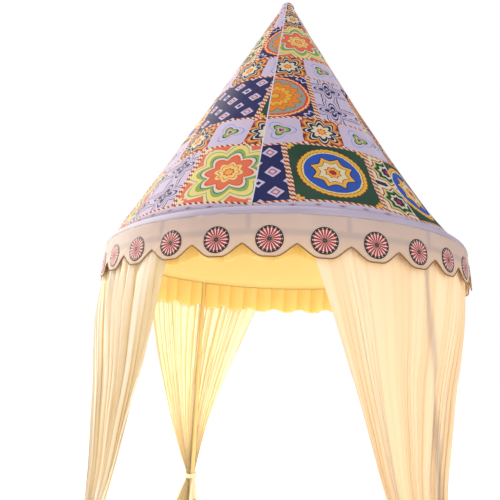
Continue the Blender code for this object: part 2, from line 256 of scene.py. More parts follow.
def cloth(add, colour, glow, roughness, see_through, normal, gloss=0.2):
    """Ends a material as cloth: dull on its face, with a glow where light comes through."""
    surface = {"Base Color": colour, "Roughness": roughness, "Normal": normal}
    shine = {"Specular IOR Level": gloss, "Sheen Weight": gloss / 4.0}
    front = add("BsdfPrincipled", named={**surface, **shine})
    back = add("BsdfTranslucent", glow, normal)
    add("OutputMaterial", add("MixShader", see_through, front, back))


def opaque(add, colour, roughness, normal=None):
    """Ends a material that lets no light through."""
    surface = {"Base Color": colour, "Roughness": roughness, "Normal": normal}
    add("OutputMaterial", add("BsdfPrincipled", named=surface))


def toned(add, light, dark, size):
    """A slow blotch between two shades, as light plays on slack cloth."""
    blotch = add("TexNoise", add("TexCoord", out="Object"), 1.0 / size, 2.0, 0.5)
    return add("Mix RGBA", blotch, light, dark)


# %% Painted sunlight and soft lines
SUNNY_AZIMUTH = 285.0


def painted_sunlight(add, colour, pale, start, end, share):
    """Painted sunlight: a colour paler towards the sunny side, between two cosines of the angle to it."""
    level = add("VectorMath MULTIPLY", add("TexCoord", out="Object"), (1.0, 1.0, 0.0))
    level = add("VectorMath NORMALIZE", level)
    sunny = add("VectorMath DOT_PRODUCT", level, around(SUNNY_AZIMUTH, 1.0, 0.0))
    return add("Mix RGBA", add("MapRange", sunny, start, end, 0.0, share), colour, pale)


def soft_line(add, value, centre, half_width, blur):
    """1 on a line and 0 away from it, with a soft edge."""
    away = add("ABSOLUTE", add("SUBTRACT", value, centre))
    return add("MapRange", away, half_width, half_width + blur, 1.0, 0.0)


def upright_lines(add, step, first, radius, half_width, blur):
    """Soft upright lines, one every step degrees round the tent."""
    x = add("SeparateXYZ", add("TexCoord", out="Object"))
    angle = add("ARCTAN2", x, x.node.outputs["Y"])
    steps = add("MULTIPLY_ADD", angle, 360.0 / math.tau / step, 0.5 - first / step)
    pitch = math.radians(step) * radius
    along = add("MULTIPLY", add("FRACT", steps), pitch)
    return soft_line(add, along, pitch / 2.0, half_width, blur)


# %% [markdown]
# ## The camera and the studio
#
# The photograph was taken from 3.8 m in front of the tent, at 1.6 m, tipped up 13 degrees. The camera
# was recovered from the scallops, the posts and the peak, so its values are plain numbers here. The
# floor and the world are nearly white. A soft sun stands high on the left, a little to the rear, so
# that the left of the tent is the bright side. A lamp at chest height inside stands for the daylight
# that pale cloth and ground throw about under the roof, which makes the lining and the ruffle glow.

# %% Camera
CAMERA_AZIMUTH = 7.6
CAMERA_DISTANCE = 3.796
CAMERA_HEIGHT = 1.60
CAMERA_YAW = 4.02
CAMERA_PITCH = 13.26
CAMERA_ROLL = 2.24
LENS = 33.72

camera_data = bpy.data.cameras.new("camera")
camera_data.lens = LENS
camera_data.sensor_width = 36.0
camera_data.clip_end = 200.0
camera = bpy.data.objects.new("camera", camera_data)
bpy.context.scene.collection.objects.link(camera)
camera.matrix_world = (
    Matrix.Translation(around(CAMERA_AZIMUTH, CAMERA_DISTANCE, CAMERA_HEIGHT))
    @ Matrix.Rotation(math.radians(CAMERA_AZIMUTH + CAMERA_YAW), 4, "Z")
    @ Matrix.Rotation(math.radians(90.0 + CAMERA_PITCH), 4, "X")
    @ Matrix.Rotation(math.radians(CAMERA_ROLL), 4, "Z")
)
bpy.context.scene.camera = camera
print("camera at", [round(value, 3) for value in camera.matrix_world.translation])


# %% Lights, world and floor
def new_light(name, kind, energy, place, colour, **softness):
    """A light that faces the middle of the tent."""
    data = bpy.data.lights.new(name, kind)
    data.energy = energy
    data.color = linear(colour)[:3]
    for setting, value in softness.items():
        setattr(data, setting, value)
    light = bpy.data.objects.new(name, data)
    light.location = place
    aim = Vector((0.0, 0.0, 2.2)) - light.location
    light.rotation_euler = aim.to_track_quat("-Z", "Y").to_euler()
    light.visible_camera = False
    bpy.context.scene.collection.objects.link(light)


new_light("key", "SUN", 3.0, around(256.0, 8.0, 8.2), "#FFF8EA", angle=0.16)
new_light("inside", "POINT", 50.0, around(0.0, 0.0, 1.2), "#FFF0D0", shadow_soft_size=0.5)

world = bpy.data.worlds.new("studio")
world.use_nodes = True
world.node_tree.nodes["Background"].inputs["Color"].default_value = linear("#FFFFFF")
world.node_tree.nodes["Background"].inputs["Strength"].default_value = 1.0
bpy.context.scene.world = world
print("view transform was", bpy.context.scene.view_settings.view_transform)
bpy.context.scene.view_settings.view_transform = "Standard"

# Almost white and matt, so that it gives the eye a ground and soft shadows and no colour of its own.
floor_material, add = new_material("pale_matt_floor")
opaque(add, toned(add, "#F4F3F1", "#EFEEEC", 0.6), 0.9)
floor_shape = bmesh.new()
bmesh.ops.create_circle(floor_shape, cap_ends=True, segments=64, radius=60.0)
floor_mesh = bpy.data.meshes.new("studio_floor")
floor_shape.to_mesh(floor_mesh)
floor_shape.free()
floor_mesh.materials.append(floor_material)
floor = bpy.data.objects.new("studio_floor", floor_mesh)
floor.location.z = -0.001
bpy.context.scene.collection.objects.link(floor)

# %% [markdown]
# ## Powder-coated steel
#
# The posts, hoops, rafters, plates and crown are steel with a sand-coloured powder coat, a little
# darker in patches, as handling leaves it. The tubes could be remade rounder, but they hardly show,
# so the model's own solids stay and only get their finish. The coat is a plastic skin, so the metal
# value stays at zero.

# %% Steel finish
# The orange-peel bump of baked powder breaks a highlight up, so the eye reads a coat, not bare steel.
steel, add = new_material("cream_powder_coated_steel")
peel = add("TexNoise", add("TexCoord", out="Object"), 420.0, 2.0, 0.5)
opaque(add, toned(add, "#DCC48C", "#CDB070", 0.15), 0.42, add("Bump", 0.15, 0.0005, None, peel))
for name, cad_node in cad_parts.items():
    if name.startswith(("post", "foot_plate", "ring_beam", "rafter", "crown")):
        cad_node.data.materials.clear()
        cad_node.data.materials.append(steel)
print("steel on the frame")

# %% [markdown]
# ## The printed roof
#
# The roof is eight gores of printed polyester sewn into a cone. It could be turned like a lathe
# piece, but real cloth moves: a breeze from the right presses the roof in on that side and fills it
# on the other, and only the four rafters hold it. Each gore was cut from flat cloth, so the print
# runs straight on each gore and breaks at the seams. The UVs are therefore the flat gore: metres
# across it, and metres down from the cone's point. Gore number i is moved 4 m along U, so that the
# shader knows which gore it is on.

# %% Roof shape
ROOF_SLOPE = 0.527
CONE_POINT = 4.951
FLARE_START = 2.720
FLARE = 0.0215
DOME_START = 4.820
GORES = 8
GORE_OFFSET = 4.0
HALF_POINT_ANGLE = math.atan(ROOF_SLOPE)
ROOF_CROWDING = 1.4
GORE_SLACK = 0.004
BELLY = 0.105
SAG = 0.072


def roof_radius(height):
    """Radius of the roof cloth: a straight cone, flared at the eave, rounded over at the peak."""
    radius = ROOF_SLOPE * (CONE_POINT - height)
    if height < FLARE_START:
        radius += FLARE * ((FLARE_START - height) / (FLARE_START - ROOF_EDGE)) ** 2
    if height > DOME_START:
        climb = (height - DOME_START) / (PEAK - DOME_START)
        radius = ROOF_SLOPE * (CONE_POINT - DOME_START) * math.sqrt(max(0.0, 1.0 - climb**2))
    return radius


def breeze(azimuth, height):
    """How far a breeze from the right moves the roof between two rafters, which hold it.

    On the right it is pressed in, most at half its height. On the left it fills, most near the eave.
    """
    climb = clamp((height - ROOF_EDGE) / (PEAK - ROOF_EDGE))
    free = abs(math.cos(math.radians(2.0 * azimuth)))
    right = math.sin(math.radians(azimuth))
    if right > 0.0:
        return -SAG * free * right * math.sin(math.pi * climb**0.72)
    return BELLY * free * -right * min(1.0, climb / 0.07) ** 0.7 * (1.0 - climb) ** 2.2


def roof_place(across, down):
    """A point of the roof cloth, with rows closer together near the peak, where it is pulled tight."""
    azimuth = 360.0 * across
    height = PEAK + (ROOF_EDGE + 0.001 - PEAK) * down**ROOF_CROWDING
    between = math.sin(math.pi * ((across * GORES) % 1.0))
    spread = min(1.0, (PEAK - height) * 2.0)
    slack = GORE_SLACK * spread * (ripple(azimuth, height, 0.30, 3.0) - between)
    slack += breeze(azimuth, height)
    return around(azimuth, max(0.0, roof_radius(height) + slack), height)


def roof_lay(across, down, middle):
    """UV of the roof: the flat gore, in metres."""
    gore = math.floor(middle * GORES)
    turn = math.radians((across * GORES - gore - 0.5) * 360.0 / GORES) * math.sin(HALF_POINT_ANGLE)
    slant = (CONE_POINT - PEAK + (PEAK - ROOF_EDGE) * down**ROOF_CROWDING) / math.cos(HALF_POINT_ANGLE)
    return (gore * GORE_OFFSET + slant * math.sin(turn), slant * math.cos(turn))


# %% [markdown]
# ## The inks and motifs of the print
#
# The design is a free patchwork of traditional tile geometry. An image could carry it, but steps of
# flat ink stay sharp at any size, and screen printing works that way: one ink after another. Each
# motif is a number that grows outwards from the tile's middle, fed to a ramp with hard steps, and
# each step is one ink: a ring is written as its start, in tile widths, and its ink. A cosine of the
# angle bends the rings into petals.

# %% Inks and motifs
INKS = {
    "navy": "#0C1550", "blue": "#1A48A6", "sky": "#6C8CC4", "green": "#153C2C", "leaf": "#7E9E38",
    "crimson": "#9A152A", "red": "#CB3C28", "salmon": "#CC6446", "orange": "#D67A1E",
    "gold": "#D8A038", "sand": "#D6C07C", "cream": "#CFC2A2", "lilac": "#BBADC6",
    "brown": "#63300C", "grey": "#888C86",
}
WHEEL = {
    "count": 14, "depth": 0.24,
    "rings": "0 gold, 0.05 brown, 0.06 orange, 0.13 red, 0.14 gold, 0.21 brown, 0.22 orange, 0.31 brown, "
    "0.32 grey",
    "rim": (0.40, "0 red, 0.425 sand, 0.445 red, 0.46 navy"),
    "corners": "0 lilac, 0.08 navy, 0.14 lilac, 0.17 navy",
}
ARABESQUE = {
    "repeats": 2, "count": 4, "depth": 0.62,
    "rings": "0 navy, 0.04 lilac, 0.08 navy, 0.16 lilac, 0.22 navy, 0.26 lilac, 0.37 navy, 0.40 lilac, "
    "0.50 navy, 0.56 lilac",
}
FLOWER = {
    "count": 8, "depth": 0.28,
    "rings": "0 gold, 0.04 red, 0.06 sand, 0.10 orange, 0.12 sand, 0.15 salmon, 0.24 red, 0.26 cream, "
    "0.30 blue, 0.315 leaf, 0.36 sand, 0.43 leaf, 0.45 cream, 0.50 salmon",
    "corners": "0 blue, 0.05 cream, 0.12 salmon, 0.15 cream",
}
HARLEQUIN = {
    "kind": "diamond", "repeats": 3,
    "rings": "0 lilac, 0.10 crimson, 0.16 lilac, 0.27 navy, 0.78 lilac, 0.90 navy",
}
ROUNDEL = {
    "count": 8, "depth": -0.34,
    "rings": "0 crimson, 0.04 gold, 0.07 crimson, 0.085 cream, 0.15 brown, 0.16 gold, 0.21 navy, "
    "0.225 blue",
    "rim": (0.33, "0 sand, 0.34 brown, 0.35 gold, 0.39 brown, 0.40 green"),
    "corners": "0 crimson, 0.06 gold, 0.11 crimson",
}
STRAPWORK = {
    "kind": "star", "repeats": 2,
    "rings": "0 crimson, 0.05 navy, 0.12 cream, 0.17 green, 0.25 leaf, 0.28 cream, 0.31 crimson, "
    "0.345 cream, 0.43 navy",
}
BLOOM = {
    "count": 8, "depth": 0.34,
    "rings": "0 gold, 0.07 red, 0.11 cream, 0.24 navy, 0.33 cream, 0.37 navy, 0.43 gold, 0.48 salmon, "
    "0.55 brown",
    "corners": "0 cream, 0.07 crimson, 0.11 brown",
}
BUD = {
    "count": 3, "depth": 0.50,
    "rings": "0 crimson, 0.05 lilac, 0.09 leaf, 0.15 green, 0.18 lilac, 0.27 sky, 0.29 lilac",
    "corners": "0 crimson, 0.06 lilac",
}
LARGE_MOTIFS = (WHEEL, ARABESQUE, FLOWER, HARLEQUIN, ROUNDEL, STRAPWORK)
SMALL_MOTIFS = (BLOOM, BUD)


# %% Tile geometry
def polar(add, x, y):
    """Distance from a middle, and the angle there."""
    distance = add("VectorMath LENGTH", add("CombineXYZ", x, y))
    return distance, add("ARCTAN2", y, x)


def petals(add, distance, angle, count, depth):
    """Distance bent into count round petals, or into points where depth is negative."""
    turned = add("MULTIPLY", angle, 0.5 * count)
    wave = add("ABSOLUTE", add("COSINE", turned))
    return add("MULTIPLY", distance, add("MULTIPLY_ADD", wave, -depth, 1.0))


def repeated(add, value, count):
    """A coordinate that runs from -0.5 to 0.5, count times in one unit."""
    scaled = add("MULTIPLY_ADD", value, float(count), 0.5 * count)
    return add("SUBTRACT", add("FRACT", scaled), 0.5)


def folded(add, x, y, operation):
    """Both coordinates without their signs, joined by an operation."""
    return add(operation, add("ABSOLUTE", x), add("ABSOLUTE", y))


def inked(rings, scale=1.0):
    """Ramp stops from rings such as "0 gold, 0.05 brown", with inks by name or hex value."""
    pairs = [ring.split() for ring in rings.split(", ")]
    return [(float(start) * scale, INKS.get(ink, ink)) for start, ink in pairs]


# %% Drawing one motif
def draw_motif(add, x, y, rings, kind="petals", repeats=1, count=0, depth=0.0, rim=None, corners=None):
    """The colour of one motif, x and y from -0.5 to 0.5 across the tile."""
    inner_x = repeated(add, x, repeats)
    inner_y = repeated(add, y, repeats)
    if kind == "petals":
        distance, angle = polar(add, inner_x, inner_y)
        grown = petals(add, distance, angle, count, depth)
    else:
        grown = folded(add, inner_x, inner_y, "ADD")
    if kind == "star":
        # The smaller of a diamond's and a square's distance gives a star of eight points.
        square = folded(add, inner_x, inner_y, "MAXIMUM")
        grown = add("MINIMUM", add("MULTIPLY", grown, 0.72), square)
    # Petals pull the rings in on the whole, and points push them out, so the steps go with them.
    colour = add("ValToRGB", grown, stops=inked(rings, 1.0 - 0.7 * depth))
    if rim:
        # Forty shallow petals make the rim look like a rope.
        start, rim_rings = rim
        rope = petals(add, distance, angle, 40, 0.03)
        round_rim = add("ValToRGB", rope, stops=inked(rim_rings))
        colour = add("Mix RGBA", add("GREATER_THAN", distance, start), colour, round_rim)
    if corners:
        # A quarter of a small wheel sits in each corner, so four tiles make a whole one.
        corner_x = add("SUBTRACT", 0.5, add("ABSOLUTE", x))
        corner_y = add("SUBTRACT", 0.5, add("ABSOLUTE", y))
        fan = petals(add, *polar(add, corner_x, corner_y), 12, 0.25)
        stops = inked(corners, 0.9)
        near = add("LESS_THAN", fan, stops[-1][0])
        colour = add("Mix RGBA", near, colour, add("ValToRGB", fan, stops=stops))
    return colour


# %% [markdown]
# ## Laying the print on the cloth
#
# On each gore the print is set out from its middle line: a row of large tiles, then one of small
# tiles, and below them a band of buds along the eave. Row, column and gore choose the motif, and
# the choice steps from gore to gore, so that no gore is a plain copy of its neighbour. A little noise
# in the coordinates makes the lines look drawn by hand.

# %% Gore, row and tile
TILE = 0.56
ROW_PAIR = 1.5 * TILE
BAND_TOP = 2.795
HAND_WOBBLE = 0.010

# A busy print in flat, slightly worn inks: dense colour from afar, clear tile patterns close by.
roof_print, add = new_material("printed_polyester")
flat = add("UVMap", uv_map="UVMap")
u = add("SeparateXYZ", flat)
v = u.node.outputs["Y"]
gore = add("FLOOR", add("MULTIPLY_ADD", u, 1.0 / GORE_OFFSET, 0.5))
local = add("MULTIPLY_ADD", gore, -GORE_OFFSET, u)
turn = add("ABSOLUTE", add("ARCTAN2", local, v))
wobble = add("TexNoise", flat, 14.0, 3.0, 0.6)
local = add("ADD", local, add("MULTIPLY_ADD", wobble, 2.0 * HAND_WOBBLE, -HAND_WOBBLE))
rows = add("MULTIPLY_ADD", v, -1.0 / ROW_PAIR, BAND_TOP / ROW_PAIR)
row = add("FLOOR", rows)
in_row = add("MULTIPLY", add("FRACT", rows), 1.5)
small = add("GREATER_THAN", in_row, 1.0)
denser = add("ADD", small, 1.0)
odd = add("FLOORED_MODULO", add("ADD", gore, row), 2.0)
column = add("MULTIPLY_ADD", add("MULTIPLY", local, denser), 1.0 / TILE, 0.5)
column = add("MULTIPLY_ADD", odd, 0.5, column)
number = add("FLOOR", column)
x = add("SUBTRACT", add("FRACT", column), 0.5)
y = add("MULTIPLY_ADD", add("SUBTRACT", in_row, small), denser, -0.5)

# %% Which motif goes where
FIRST_MOTIF = 4.0
from_last = add("MULTIPLY", gore, add("SUBTRACT", GORES - 1.0, gore))
mixed = add("MULTIPLY_ADD", from_last, 0.5, FIRST_MOTIF)
mixed = add("MULTIPLY_ADD", gore, 3.0, mixed)
large_choice = add("ADD", add("MULTIPLY_ADD", row, 2.0, number), mixed)
large_choice = add("FLOORED_MODULO", large_choice, float(len(LARGE_MOTIFS)))
small_choice = add("FLOORED_MODULO", number, float(len(SMALL_MOTIFS)))
small_choice = add("ADD", small_choice, float(len(LARGE_MOTIFS)))
choice = add("Mix", small, large_choice, small_choice)
colour = "#FFFFFF"
for index, motif in enumerate((*LARGE_MOTIFS, *SMALL_MOTIFS)):
    chosen = add("COMPARE", choice, float(index), 0.5)
    colour = add("Mix RGBA", chosen, colour, draw_motif(add, x, y, **motif))

# %% Rope borders and the band of buds
ROPE_START = 0.468
ROPE_TWIST = 90.0
BUD_WIDTH = 0.14
BUD_HEIGHT = 0.06
BUD_MIDDLE = 2.822
on_edge = add("GREATER_THAN", folded(add, x, y, "MAXIMUM"), ROPE_START)
on_edge = add("MULTIPLY", on_edge, add("SUBTRACT", 1.0, small))
twist = add("MULTIPLY", add("ADD", x, y), ROPE_TWIST)
rope = add("GREATER_THAN", add("SINE", twist), 0.0)
rope_colour = add("Mix RGBA", rope, INKS["cream"], INKS["crimson"])
colour = add("Mix RGBA", on_edge, colour, rope_colour)
bud_x = repeated(add, local, 1.0 / BUD_WIDTH)
bud_y = add("MULTIPLY_ADD", v, 1.0 / BUD_HEIGHT, -BUD_MIDDLE / BUD_HEIGHT)
bud_stops = inked("0 crimson, 0.08 lilac, 0.13 green, 0.17 lilac")
bud = add("ValToRGB", folded(add, bud_x, bud_y, "ADD"), stops=bud_stops)
colour = add("Mix RGBA", add("GREATER_THAN", v, BAND_TOP), colour, bud)

# %% Wear, painted sunlight, seams and the roof itself
SEAM_HALF_WIDTH = 0.004
wear = add("MULTIPLY", add("TexNoise", flat, 2.5, 3.0, 0.6), 0.05)
colour = add("Mix RGBA", wear, colour, "#EDE6DC")
# Painted sunlight: the print is painted paler on the side towards the sun.
colour = painted_sunlight(add, colour, "#F4E8DA", 0.5, 0.95, 0.16)
half_gore = math.radians(180.0 / GORES) * math.sin(HALF_POINT_ANGLE)
to_seam = add("MULTIPLY", add("SUBTRACT", half_gore, turn), v)
colour = add("Mix RGBA", add("LESS_THAN", to_seam, SEAM_HALF_WIDTH), colour, "#CFC6DA")
cloth(add, colour, colour, 0.75, 0.08, weave(add, 0.003, 0.25, 0.25), gloss=0.04)

roof_shape = cloth_sheet(192, 72, roof_place, roof_lay, ring=True)
gore_nodes = ["roof_gore_%d" % (i + 1) for i in range(GORES)]
roof = new_piece("roof_cloth", roof_shape, roof_print, [*gore_nodes, "peak_cap"], POLYESTER)

# %% [markdown]
# ## Eave trim
#
# A plain pale strip is sewn over the shoulder, where the roof turns into the valance. It could be a
# slice of a ring, but it is cut on the straight, so it puckers slightly as it rounds the hoop. A bent
# grid can carry those puckers.

# %% Eave trim
TRIM_RADIUS = 1.38
TRIM_DEPTH = 0.07


def trim_place(across, down):
    """A point of the strip: it laps 2 mm over the roof, rounds the shoulder and ends on the valance."""
    azimuth = 360.0 * across
    radius = ROOF_EDGE_RADIUS + (VALANCE_TOP_RADIUS - ROOF_EDGE_RADIUS) * math.sin(down * math.pi / 2.0)
    height = ROOF_EDGE + 0.002 - (ROOF_EDGE - VALANCE_TOP + 0.006) * (0.6 * down + 0.4 * down**2)
    pucker = 0.0016 * ripple(azimuth, height * 0.3, 0.035, 8.0)
    pucker += 0.0012 * ripple(azimuth, height, 0.15, 1.0)
    return around(azimuth, radius + pucker + 0.001, height)


# Pale and a little glossy, tinted lilac as painted shade and near white on the sunny side as painted
# sunlight: a quiet edge between the busy roof and the valance.
trim_cloth, add = new_material("plain_polyester")
# Painted shade: the pale strip is tinted lilac, as it looks in shade.
colour = toned(add, "#C3B8CC", "#A79BB2", 0.25)
# Painted sunlight: near white towards the sun.
colour = painted_sunlight(add, colour, "#F6F0EE", 0.45, 0.85, 0.50)
cloth(add, colour, "#D8CFDD", 0.8, 0.15, weave(add, 0.003, 0.2, 0.3))
trim_shape = cloth_sheet(540, 8, trim_place, ring_lay(TRIM_RADIUS, TRIM_DEPTH), ring=True)
trim = new_piece("eave_strip", trim_shape, trim_cloth, ["eave_trim"], POLYESTER)

# %% [markdown]
# ## Scalloped valance
#
# The valance is one long strip, cut in thirty scallops and hung from the eave. Thirty bites could be
# cut out of a band, but that leaves ragged faces. Here the rows of the grid are pressed together
# over each notch, so the edge stays smooth enough to carry a cord. The cloth is thin, and the shadows
# of the hoop and the uprights behind it are painted on it as soft grey bands.

# %% Valance shape
LOBE_COLUMNS = 24
LOBE_FLAT = 0.2
NOTCH_TURN = 0.80 * math.pi
VALANCE_MIDDLE_RADIUS = 1.40


def hem_height(azimuth):
    """Height of the valance's scalloped edge: flat along a lobe's foot, curved up to the notch."""
    rise = max(0.0, (from_lobe(azimuth) - LOBE_FLAT) / (1.0 - LOBE_FLAT))
    return LOBE_BOTTOM + HEM_RISE * (1.0 - math.cos(NOTCH_TURN * rise)) / (1.0 - math.cos(NOTCH_TURN))


def valance_radius(azimuth, height):
    """Radius of the valance: it leans out a little, is loose on the left, and its hem waves."""
    fall = (VALANCE_TOP - height) / (VALANCE_TOP - LOBE_BOTTOM)
    # Slack over 20 cm, wrinkles over 7 cm, and slanted creases on the loose left side.
    loose = max(0.0, math.sin(math.radians(-azimuth + 25.0)))
    slack = 0.0045 * ripple(azimuth, height * 0.3, 0.20, 5.0)
    slack += 0.0028 * ripple(azimuth, height * 0.6, 0.07, 2.0)
    slack += 0.006 * loose * ripple(azimuth + 26.0 * fall, height * 0.4, 0.06, 13.0)
    return VALANCE_TOP_RADIUS + (VALANCE_RADIUS - VALANCE_TOP_RADIUS) * fall + slack * fall**0.6


def valance_place(across, down):
    """A point of the valance."""
    azimuth = 360.0 * across + FIRST_LOBE
    height = VALANCE_TOP + (hem_height(azimuth) - VALANCE_TOP) * down
    return around(azimuth, valance_radius(azimuth, height), height)


# %% Valance cloth
UPRIGHT_STEP = 22.5
SHADOW_BLUR = 0.020
SHADOW_DEPTH = 0.30

# Cream with painted light and shade: greyer at the top as painted shade under the eave, warmer
# towards the hem as painted light coming through, and painted grey shadows of the frame: the eye
# sees that the cloth is thin.
valance_cloth, add = new_material("cream_polyester")
z = add("SeparateXYZ", add("TexCoord", out="Object"), out="Z")
# Painted shadows of the uprights and the hoop that stand behind the thin cloth.
upright_shadow = upright_lines(add, UPRIGHT_STEP, 0.0, VALANCE_RADIUS, 0.004, SHADOW_BLUR)
upright_shadow = add("MULTIPLY", upright_shadow, add("GREATER_THAN", z, HOOP_HEIGHT))
hoop_shadow = soft_line(add, z, HOOP_HEIGHT, 0.008, SHADOW_BLUR)
shade = add("MULTIPLY", add("MAXIMUM", upright_shadow, hoop_shadow), SHADOW_DEPTH)
# Painted shade at the top under the eave, painted light coming through towards the hem.
high = toned(add, "#DAC5BA", "#C7B2AE", 0.2)
low = toned(add, "#EAD2BA", "#D9BFAC", 0.2)
climb = add("MapRange", z, LOBE_BOTTOM + 0.04, VALANCE_TOP - 0.04, 0.0, 1.0)
colour = add("Mix RGBA", climb, low, high)
colour = add("Mix RGBA", shade, colour, "#8E8A9E")
# Painted sunlight: paler towards the sun.
colour = painted_sunlight(add, colour, "#FBF4EC", 0.62, 0.86, 0.45)
cloth(add, colour, "#EFD2A8", 0.8, 0.25, weave(add, 0.003, 0.2, 0.3))

valance_lay = ring_lay(VALANCE_MIDDLE_RADIUS, 0.245)
valance_shape = cloth_sheet(SCALLOPS * LOBE_COLUMNS, 14, valance_place, valance_lay, ring=True)
panels = ["valance_" + side for side in SIDES]
valance = new_piece("scalloped_valance", valance_shape, valance_cloth, panels, POLYESTER)

# %% [markdown]
# ## Corded hem
#
# A brown cord is sewn along the scallops. A curve with a round bevel would give the same tube, but a
# grid rolled up has its own UVs, along the hem and round the cord, and the twist of the plies is
# drawn on those. Both of its ends are welded.

# %% Corded hem
CORD_RADIUS = 0.0034
CORD_PLIES = 2000.0
CORD_STEPS = SCALLOPS * LOBE_COLUMNS


def hem_path(share):
    """The middle of the cord along the valance's hem."""
    azimuth = 360.0 * share + FIRST_LOBE
    height = hem_height(azimuth)
    return around(azimuth, valance_radius(azimuth, height) - 0.0006, height - 0.001)


def cord_place(along, turn):
    """A point on the cord's surface, round a section that stands square to the hem."""
    here = hem_path(along)
    ahead = (hem_path(along + 0.3 / CORD_STEPS) - hem_path(along - 0.3 / CORD_STEPS)).normalized()
    outward = Vector((here.x, here.y, 0.0)).normalized()
    upward = ahead.cross(outward).normalized()
    outward = upward.cross(ahead)
    angle = math.tau * turn
    return here + outward * (CORD_RADIUS * math.cos(angle)) + upward * (CORD_RADIUS * math.sin(angle))


def share_lay(along, turn, middle):
    """UVs that are the shares along and round a tube."""
    return (along, turn)


# Slanted plies in two browns: a darker, slightly rough line that picks the scallops out.
cord, add = new_material("brown_piping_cord")
u = add("SeparateXYZ", add("UVMap", uv_map="UVMap"))
plies = add("MULTIPLY_ADD", u, CORD_PLIES, u.node.outputs["Y"])
wave = add("SINE", add("MULTIPLY", plies, math.tau))
share = add("MULTIPLY_ADD", wave, 0.5, 0.5)
opaque(add, add("Mix RGBA", share, "#9A6B3C", "#6B4524"), 0.7, add("Bump", 1.0, 0.001, None, share))
cord_shape = cloth_sheet(CORD_STEPS, 8, cord_place, share_lay, ring=True)
bmesh.ops.recalc_face_normals(cord_shape, faces=cord_shape.faces)
hem_cord = new_piece("valance_hem_cord", cord_shape, cord)

# %% [markdown]
# ## Rosettes
#
# One round patch is sewn on every scallop. The petals could be part of the valance's print, but a
# patch stands proud and has a rim that catches light. So each is a flat padded disc that follows the
# valance, made from a sphere squashed until it is 3 mm thick. Its UVs are the disc seen from the
# front, from -1 to 1, so one material can draw petals on all of them.

# %% Rosette cloth
ROSETTE_PETALS = 18
ROSETTE_RIM = 0.775

# Satin stitch: dark red petals between pale spokes, in a black rim with small diamonds.
stitches, add = new_material("satin_stitch_rosette")
x = add("SeparateXYZ", add("UVMap", uv_map="UVMap"))
distance, angle = polar(add, x, x.node.outputs["Y"])
petal = add("PINGPONG", add("MULTIPLY", angle, ROSETTE_PETALS / math.pi), 1.0)
widening = add("MULTIPLY_ADD", distance, -0.40, petal)
ray_stops = inked("0 #EFC6BE, 0.07 #4E0C18, 0.15 #7E1526, 0.42 #AE2E38, 0.60 #7E1526")
ray = add("ValToRGB", widening, stops=ray_stops)
tips = petals(add, distance, angle, 2 * ROSETTE_PETALS, 0.05)
rim = add("ValToRGB", tips, stops=inked("0 #1A1214, 0.975 #A8824C"))
colour = add("Mix RGBA", add("GREATER_THAN", tips, ROSETTE_RIM), ray, rim)
from_ring = add("ABSOLUTE", add("SUBTRACT", distance, 0.88))
diamond = add("MULTIPLY_ADD", from_ring, 6.0, petal)
colour = add("Mix RGBA", add("LESS_THAN", diamond, 0.30), colour, "#DCC8BE")
hub = add("ValToRGB", distance, stops=inked("0 #5A5640, 0.05 #1F1C16, 0.13 #4A4630, 0.155 #1F1C16"))
colour = add("Mix RGBA", add("LESS_THAN", distance, 0.17), colour, hub)
# Painted sunlight: the patches are painted paler towards the sun.
colour = painted_sunlight(add, colour, "#F4D8D2", 0.62, 0.86, 0.25)
opaque(add, colour, 0.55, add("Bump", 0.4, 0.001, None, petal))

# %% Rosettes on the valance
ROSETTE_RADIUS = 0.0765
ROSETTE_HEIGHT = 2.230
ROSETTE_HALF_THICKNESS = 0.0016


def add_rosette(shape, layer, azimuth):
    """One padded disc on the valance at an azimuth."""
    points = set(bmesh.ops.create_uvsphere(shape, u_segments=40, v_segments=12, radius=1.0)["verts"])
    for face in {face for point in points for face in point.link_faces}:
        for loop in face.loops:
            loop[layer].uv = (loop.vert.co.x, loop.vert.co.y)
    for point in points:
        pad = math.copysign(abs(point.co.z) ** 0.35, point.co.z) * ROSETTE_HALF_THICKNESS
        turn = math.degrees(point.co.x * ROSETTE_RADIUS / VALANCE_RADIUS)
        height = ROSETTE_HEIGHT + point.co.y * ROSETTE_RADIUS
        radius = valance_radius(azimuth + turn, height) + ROSETTE_HALF_THICKNESS + pad + 0.0003
        point.co = around(azimuth + turn, radius, height)


rosette_shape = bmesh.new()
rosette_layer = rosette_shape.loops.layers.uv.new("UVMap")
for number in range(SCALLOPS):
    add_rosette(rosette_shape, rosette_layer, FIRST_LOBE + PITCH * number)
bmesh.ops.recalc_face_normals(rosette_shape, faces=rosette_shape.faces)
rosettes = new_piece("rosettes", rosette_shape, stitches)

# %% [markdown]
# ## Lining
#
# Under the rafters hangs a smooth cone of yellow lining, sewn from eight gores. A copy of the roof
# would run through the rafters, so the lining has a rule of its own. It sags a little between the
# rafters, gives way where the breeze presses the roof in, and its foot is let out to meet the
# ruffle, with room left at the posts.

# %% Lining
LINING_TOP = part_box("ceiling_lining")[1].z
LINING_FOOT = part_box("ceiling_lining")[0].z
LINING_FOOT_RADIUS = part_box("ceiling_lining")[1].x
RUFFLE_RADIUS = 1.3355
LINING_FLARE = 0.05


def beside_post(azimuth):
    """0 at a post and 1 from about 50 mm beside its middle."""
    away = abs((azimuth + 45.0 + 45.0) % 90.0 - 45.0)
    return clamp((away - 1.2) / 1.0)


def lining_place(across, down):
    """A point of the lining."""
    azimuth = 360.0 * across
    height = LINING_TOP + (LINING_FOOT - 0.006 - LINING_TOP) * down
    radius = LINING_FOOT_RADIUS - ROOF_SLOPE * (height - LINING_FOOT)
    low = max(0.0, 1.0 - (height - LINING_FOOT) / LINING_FLARE)
    radius += (RUFFLE_RADIUS - LINING_FOOT_RADIUS) * min(1.0, low) ** 1.5 * beside_post(azimuth)
    between = abs(math.sin(math.radians(2.0 * azimuth + 90.0)))
    sag = 0.004 * ripple(azimuth, height, 0.35, 11.0) * (1.0 - low)
    sag -= 0.010 * between * math.sin(math.pi * down)
    return around(azimuth, radius + sag + min(0.0, breeze(azimuth, height)) - 0.001, height)


